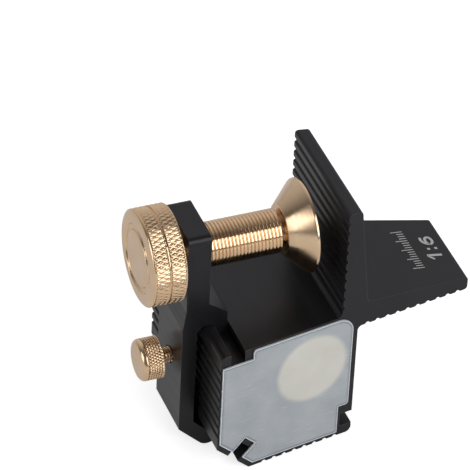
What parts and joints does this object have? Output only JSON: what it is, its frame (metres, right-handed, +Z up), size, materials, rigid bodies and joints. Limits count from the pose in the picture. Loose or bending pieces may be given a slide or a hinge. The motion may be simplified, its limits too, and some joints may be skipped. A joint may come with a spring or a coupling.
{
  "type": "dovetail saw guide",
  "caption": "Black extruded guide block with sloped, film faced magnetic ends, a ribbed fence and tail plate, and a hooked arm with a brass clamp screw, swivel pad and lock screw.",
  "frame": {"origin": "middle land of the block's ribbed lower face, half way between the two sloped ends", "axes": "+X from the clamp arm to the tail plate, +Z up along the fence plate, Y along the extrusion"},
  "size_m": [0.0907, 0.0516, 0.0751],
  "materials": {
    "anodised_body": "satin black anodised",
    "anodised_arm": "satin black anodised",
    "face_film": "milky low friction film",
    "magnet": "plated",
    "brass_screw": "satin turned brass",
    "brass_pad": "satin turned brass",
    "brass_fastener": "satin turned brass",
    "brass_lock": "satin turned brass"
  },
  "bodies": {
    "guide": {"guide_body": "anodised_body", "near_face_film": "face_film", "far_face_film": "face_film", "near_magnet": "magnet", "far_magnet": "magnet"},
    "arm": {"clamp_arm": "anodised_arm"},
    "pad": {"clamp_pad": "brass_pad"},
    "screw": {"clamp_screw": "brass_screw", "pad_screw": "brass_fastener"},
    "lock": {"lock_screw": "brass_lock"}
  },
  "joints": [
    {"name": "arm_slide", "type": "slide", "parent": "guide", "child": "arm", "axis": [0, 1, 0], "range_m": [-0.0135, 0.0193]},
    {"name": "clamp_travel", "type": "slide", "parent": "arm", "child": "pad", "axis": [1, 0, 0], "range_m": [-0.0219, 0.0012]},
    {"name": "clamp_turn", "type": "hinge", "parent": "pad", "child": "screw", "pos_m": [-0.02545, -0.0029, 0.0614], "axis": [1, 0, 0], "range_deg": [-7885, 433]},
    {"name": "lock_turn", "type": "hinge", "parent": "arm", "child": "lock", "pos_m": [-0.03045, -0.0029, 0.0266], "axis": [1, 0, 0], "range_deg": [-360, 0]}
  ],
  "couplings": [
    {"joint": "clamp_turn", "follows": "clamp_travel", "rad_per_m": 6283.2}
  ]
}
